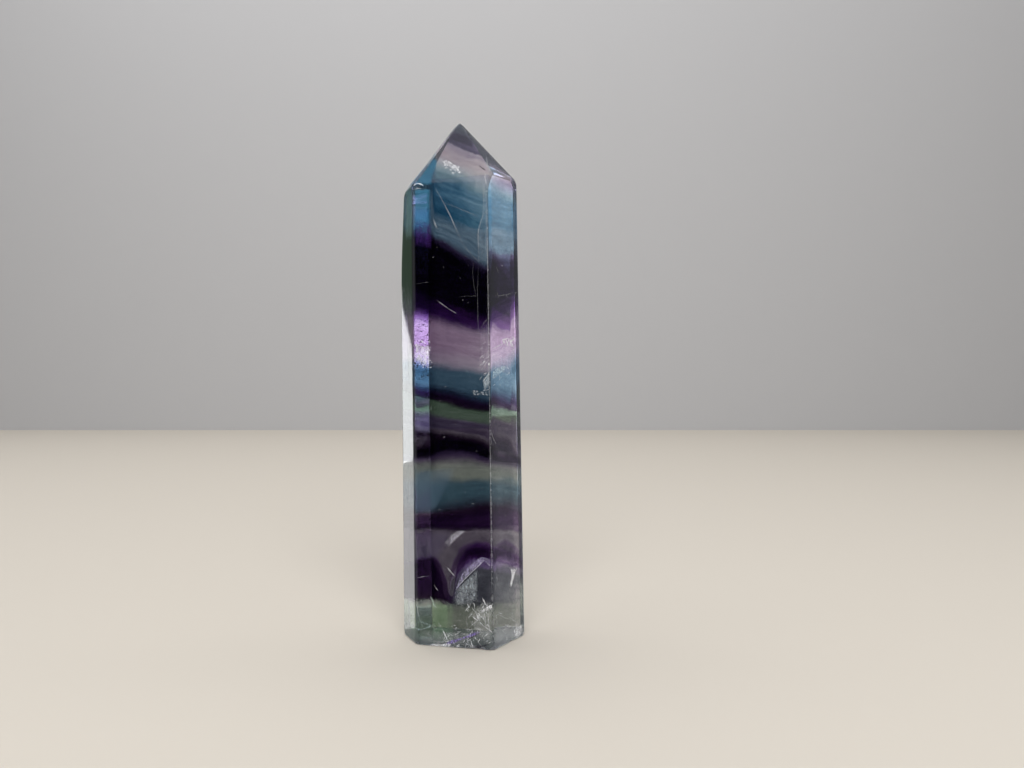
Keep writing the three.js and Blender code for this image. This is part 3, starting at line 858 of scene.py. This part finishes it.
def joined(parts):
    # one set of points, faces, strengths and colours; each part's faces count on from the part before
    counts = np.cumsum([0] + [len(part[0]) for part in parts])
    faces = [part[1] + start for part, start in zip(parts, counts)]
    points, strengths, colours = (np.concatenate([part[k] for part in parts]) for k in (0, 2, 3))
    return points, np.concatenate(faces), strengths, colours


def hairlineMesh(lines):
    # each hairline: a four-cornered profile along its path, half width ~ (4t(1 - t))^0.5 with a slow wobble
    steps = flaws["steps"]
    t = np.linspace(0, 1, steps)
    i, j = np.meshgrid(np.arange(steps - 1), np.arange(4), indexing="ij")
    k = (j + 1) % 4
    quads = np.stack([i * 4 + j, (i + 1) * 4 + j, (i + 1) * 4 + k, i * 4 + k], -1).reshape(-1, 4)
    last = 4 * steps - 1
    faces = np.concatenate([quads, [[0, 1, 2, 3], [last, last - 1, last - 2, last - 3]]])
    (mean, swing), (waves, shift) = flaws["wobble"], flaws["wobbleWaves"]
    parts = []
    for index, (flat, strength, width, places, *colour) in enumerate(lines):
        line, normal = onFlat(flat, alongPath(places, steps))
        sideways = unit(np.cross(normal, unit(np.gradient(line, axis=0))))
        half = (4 * t * (1 - t)) ** 0.5 * (mean + swing * np.sin(waves * t + index * shift))
        half = np.maximum(half * flaws["fine"] * width * mm / 2, flaws["finest"])[:, None]
        out, thick = sideways * half, normal * np.minimum(half * flaws["thickness"], flaws["proud"])
        rows = np.stack([line + out, line + thick, line - out, line - thick], 1)
        strengths = np.full(steps * 4, strength * flaws["weak"])
        colours = np.tile((*(colour[0] if colour else white), 1.0), (steps * 4, 1))
        parts.append((rows.reshape(-1, 3), faces, strengths, colours))
    return joined(parts)


def sheetMesh(sheets):
    # each flake: straight lines across, from one bent edge to the other, fading out towards its borders
    along, across = flaws["sheet"]
    s, t = np.meshgrid(np.linspace(0, 1, along), np.linspace(0, 1, across), indexing="ij")
    i, j = np.meshgrid(np.arange(along - 1), np.arange(across - 1), indexing="ij")
    corner = i * across + j
    faces = np.stack([corner, corner + across, corner + across + 1, corner + 1], -1).reshape(-1, 4)
    fading = smoothStep(s, 0, flaws["fadeAlong"]) * smoothStep(1 - s, 0, flaws["fadeAlong"])
    fading *= smoothStep(t, 0, flaws["fadeFirst"]) * smoothStep(1 - t, 0, flaws["fadeSecond"])
    parts = []
    for flat, strength, colour, first, second in sheets:
        start, end = (alongPath(edge, along)[:, None] for edge in (first, second))
        places = start * (1 - t[..., None]) + end * t[..., None]
        points, _ = onFlat(flat, places.reshape(-1, 2))
        colours = np.tile((*colour, 1.0), (along * across, 1))
        parts.append((points, faces, (strength * fading).ravel(), colours))
    return joined(parts)


frosting = {
    "streakTurn": (0.0, 0.6, 0.0),
    "streakScale": (4200.0, 900.0, 700.0),
    "streakNoise": ((1.0, 1.0, 1.0), 4.0, 0.65),
    "streakMost": 0.5,
    "cover": 0.75,
    "grit": ((5200.0, 5200.0, 5200.0), 2.0, 0.6),
    "gritContrast": 10.0,
    "gritShift": -0.2,
}


def frostGroup():
    # cover = strength * (cover + streaks along one way) * (1 + fine sparkling grit), 1 at most
    group = bpy.data.node_groups.new("frost", "ShaderNodeTree")
    for name in ("Strength", "Streaks", "Sparkle"):
        group.interface.new_socket(name, in_out="INPUT", socket_type="NodeSocketFloat")
    group.interface.new_socket("Cover", in_out="OUTPUT", socket_type="NodeSocketFloat")
    n = nodeTools(group)

    def within(value, most):
        return n.atLeast(n.atMost(value, most), -most)

    strength, streaks, sparkle = n.add("NodeGroupInput").outputs[:3]
    place = n.place()
    turned = n.add("ShaderNodeMapping", {"Vector": place, "Rotation": frosting["streakTurn"],
                                         "Scale": frosting["streakScale"]})
    streak = n.times(n.noise(turned.outputs[0], *frosting["streakNoise"]), streaks)
    grit = n.noise(place, *frosting["grit"])
    grit = within(n.timesPlus(grit, frosting["gritContrast"], frosting["gritShift"]), 1.0)
    cover = n.times(strength, n.plus(within(streak, frosting["streakMost"]), frosting["cover"]))
    cover = n.times(cover, n.timesPlus(grit, sparkle, 1.0))
    n.add("NodeGroupOutput", {"Cover": n.atMost(cover, 1.0)})
    return group


def makeFlawsAndPaintedLight(name, parts, frost, streaks, sparkle, thickness):
    points, faces, strengths, colours = parts
    piece = newPiece(name, points, faces.tolist())
    pointValues(piece.data, "strength", strengths)
    pointValues(piece.data, "flawColour", colours)
    if thickness:
        piece.modifiers.new("thickness", "SOLIDIFY").thickness = thickness
    material, n = emptyMaterial(name)
    inputs = {"Strength": n.carried("strength"), "Streaks": streaks, "Sparkle": sparkle}
    cover = n.add("ShaderNodeGroup", inputs, node_tree=frost)
    shader = n.add("ShaderNodeBsdfPrincipled", {
        "Base Color": n.carried("flawColour", "Color"), "Roughness": flaws["roughness"],
        "Specular IOR Level": flaws["specular"], "Alpha": cover.outputs["Cover"]})
    n.add("ShaderNodeOutputMaterial", {"Surface": shader.outputs[0]})
    piece.data.materials.append(material)
    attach(piece, "root")
    print(name, len(points), "points")


# stage, lights and camera

stage = {
    "wallAt": 0.642,
    "floorAt": -0.08 * mm,  # a hair under the base, so that the base still mirrors inside
    "floorWidth": 4.0,
    "floorNear": -1.2,
    "wallHigh": 2.4,
    "floorColour": (0.66, 0.61, 0.54, 1.0),
    "wallColour": (0.62, 0.62, 0.635, 1.0),
    "roughness": 0.9,
}


def stageSheet(name, corners, colour):
    sheet = newPiece(name, corners, [(0, 1, 2, 3)])
    material, n = emptyMaterial("pale_" + name)
    shader = n.add("ShaderNodeBsdfPrincipled", {
        "Base Color": colour, "Roughness": stage["roughness"], "Specular IOR Level": 0.0})
    n.add("ShaderNodeOutputMaterial", {"Surface": shader.outputs[0]})
    sheet.data.materials.append(material)
    sheet.visible_glossy = False  # the stone's polished sides mirror the room and the windows only


def makeStage():
    half, near, far = stage["floorWidth"] / 2, stage["floorNear"], stage["wallAt"]
    flat, high = stage["floorAt"], stage["wallHigh"]
    corner = [(-half, far, flat), (half, far, flat)]
    stageSheet("floor", [(-half, near, flat), (half, near, flat), *reversed(corner)], stage["floorColour"])
    stageSheet("backdrop", [*corner, (half, far, high), (-half, far, high)], stage["wallColour"])


# middle, aim, width and height in metres, glow and colour of a panel, and the rays that don't show it
lamps = {
    "leftWindow": {"at": (-0.1162, 0.1037, 0.051), "aim": (-0.0057, 0.0022, 0.051), "size": (0.022, 0.068),
                   "roll": 12.7, "glow": 4.2, "colour": (0.97, 0.98, 1.0), "hidden": ["diffuse"]},
    "leftCard": {"at": (-0.121, 0.0985, -0.015), "aim": (-0.0105, -0.003, -0.015), "size": (0.03, 0.066),
                 "glow": 1.7, "colour": (1.0, 0.98, 0.97), "hidden": ["diffuse"]},
    "frontRightWindow": {"at": (0.265, -0.313, 0.081), "aim": (0.008, -0.007, 0.081), "size": (0.11, 0.042),
                         "glow": 2.9, "colour": (0.80, 0.76, 1.0), "hidden": ["diffuse", "glossy"]},
    "frontRightCard": {"at": (0.265, -0.313, 0.036), "aim": (0.008, -0.007, 0.036), "size": (0.11, 0.048),
                       "glow": 1.7, "colour": (0.82, 0.9, 1.0), "hidden": ["diffuse", "glossy"]},
    "frontRightHigh": {"at": (0.265, -0.313, 0.185), "aim": (0.008, -0.007, 0.085), "size": (0.11, 0.055),
                       "glow": 1.3, "colour": (0.55, 0.86, 1.0), "hidden": ["diffuse", "glossy"]},
    "backLeftCard": {"at": (-0.198, 0.23, 0.095), "aim": (0.003, 0.0075, 0.06), "size": (0.07, 0.14),
                     "glow": 0.95, "hidden": ["diffuse", "glossy"]},
    "frontSheet": {"at": (0.05, -0.55, 0.5), "aim": (0.0, 0.0, 0.04), "size": (0.6, 0.45),
                   "glow": 5.0, "hidden": ["glossy", "transmission"]},
    "topSheet": {"at": (-0.25, 0.15, 0.9), "aim": (0.0, 0.05, 0.0), "size": (1.0, 0.9), "glow": 1.05},
    "wallWash": {"at": (0.0, 0.25, 0.95), "aim": (0.0, 0.64, 0.2), "size": (1.6, 0.3), "glow": 1.9},
}


def makeLamps():
    for name, lamp in lamps.items():
        light = bpy.data.lights.new(name, "AREA")
        light.shape = "RECTANGLE"
        light.size, light.size_y = width, height = lamp["size"]
        light.energy = lamp["glow"] * math.pi * width * height
        light.color = lamp.get("colour", (1.0, 1.0, 1.0))
        holder = bpy.data.objects.new(name, light)
        holder.location = lamp["at"]
        turn = (Vector(lamp["aim"]) - Vector(lamp["at"])).to_track_quat("-Z", "Y")
        roll = Quaternion((0, 0, 1), math.radians(lamp.get("roll", 0.0)))
        holder.rotation_euler = (turn @ roll).to_euler()
        holder.visible_camera = False
        for rays in lamp.get("hidden", []):
            setattr(holder, "visible_" + rays, False)
        bpy.context.scene.collection.objects.link(holder)


room = {
    "glow": 0.36,
    "behind": 0.22,  # more light from behind the stone, less from in front
    "inFront": 0.40,
    "toRight": 0.08,
    "darkest": 0.012,
    "shown": 0.62,  # what the camera sees past the backdrop
    "colour": (0.96, 0.98, 1.0, 1.0),
    # brighter ways that only the polished stone shows, the cosines between which they set in, and their glow
    "window": ((0.83, -0.55, 0.08), 0.80, 0.93),
    "windowGlow": 0.4,
    "sideWindow": ((-0.93, -0.36, 0.0), 0.86, 0.96),
    "sideGlow": 0.55,
    "shade": ((-0.72, 0.65, 0.23), 0.90, 0.97),  # a greener corner, mirrored in the left side
    "shadeColour": (0.40, 0.60, 0.42, 1.0),
}


def makeWorld():
    # glow = glow + behind * y or inFront * y, whichever is less, + toRight * x + the windows
    world = bpy.data.worlds.new("soft_room")
    bpy.context.scene.world = world
    world.use_nodes = True
    world.node_tree.nodes.clear()
    n = nodeTools(world.node_tree)
    way = n.add("ShaderNodeTexCoord").outputs["Generated"]
    path = n.add("ShaderNodeLightPath").outputs

    def towards(name):
        middle, start, end = room[name]
        cosine = n.add("ShaderNodeVectorMath", {0: way, 1: middle}, operation="DOT_PRODUCT").outputs["Value"]
        return n.times(n.fade(cosine, start, end), n.minus(1.0, path["Is Diffuse Ray"]))

    x, y, _ = n.add("ShaderNodeSeparateXYZ", {0: way}).outputs
    slope = n.atMost(n.times(y, room["behind"]), n.times(y, room["inFront"]))
    glow = n.timesPlus(x, room["toRight"], n.plus(slope, room["glow"]))
    glow = n.atLeast(glow, room["darkest"])
    glow = n.timesPlus(towards("window"), room["windowGlow"], glow)
    glow = n.timesPlus(towards("sideWindow"), room["sideGlow"], glow)
    colour = n.mix(towards("shade"), room["colour"], room["shadeColour"])
    inputs = {"Factor": path["Is Camera Ray"], 2: glow, 3: room["shown"]}
    seen = n.add("ShaderNodeMix", inputs, data_type="FLOAT").outputs[0]
    background = n.add("ShaderNodeBackground", {"Color": colour, "Strength": seen})
    n.add("ShaderNodeOutputWorld", {"Surface": background.outputs[0]})


view = {
    "from": (9.67 * mm, -144.8 * mm, 48.92 * mm),
    "focalPixels": 740.0,
    "imageWidth": 1024.0,
    "middle": (512.0, 384.0),
    "sensor": 36.0,
    "nearest": 5 * mm,
    "bounces": {"max_bounces": 24, "glossy_bounces": 12, "transmission_bounces": 16,
                "transparent_max_bounces": 24},
}


def makeCamera():
    camera = bpy.data.cameras.new("camera")
    camera.sensor_width = view["sensor"]
    camera.lens = view["focalPixels"] / view["imageWidth"] * camera.sensor_width
    camera.clip_start = view["nearest"]
    holder = bpy.data.objects.new("camera", camera)
    holder.location = view["from"]
    holder.rotation_euler = (math.pi / 2, 0, 0)
    scene = bpy.context.scene
    scene.collection.objects.link(holder)
    scene.camera = holder
    scene.view_settings.view_transform = "Standard"
    for name, most in view["bounces"].items():
        setattr(scene.cycles, name, most)


makeCamera()
makeStage()
makeLamps()
makeWorld()
print("stage, lamps and camera are in place")

stone = makeCrystal()
stone.data.materials.append(fluoriteMaterial())
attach(stone, "root")
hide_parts(flats["node"])
print("crystal is banded in", len(layers), "layers")

frost = frostGroup()
cracks = hairlineMesh(hairlines + scuffLines())
makeFlawsAndPaintedLight("hairline_cracks_and_painted_glint", cracks, frost, streaks=1.7, sparkle=0.3, thickness=0.0)
makeFlawsAndPaintedLight("frosted_flakes", sheetMesh(flakes), frost, streaks=4.2, sparkle=0.8, thickness=flaws["thin"])
makeFlawsAndPaintedLight("clouded_and_painted_light_veils", sheetMesh(veils), frost, streaks=0.6, sparkle=0.0, thickness=flaws["thin"])
print("flaws are in place:", len(hairlines), "hairlines,", len(flakes), "flakes and", len(veils), "veils")
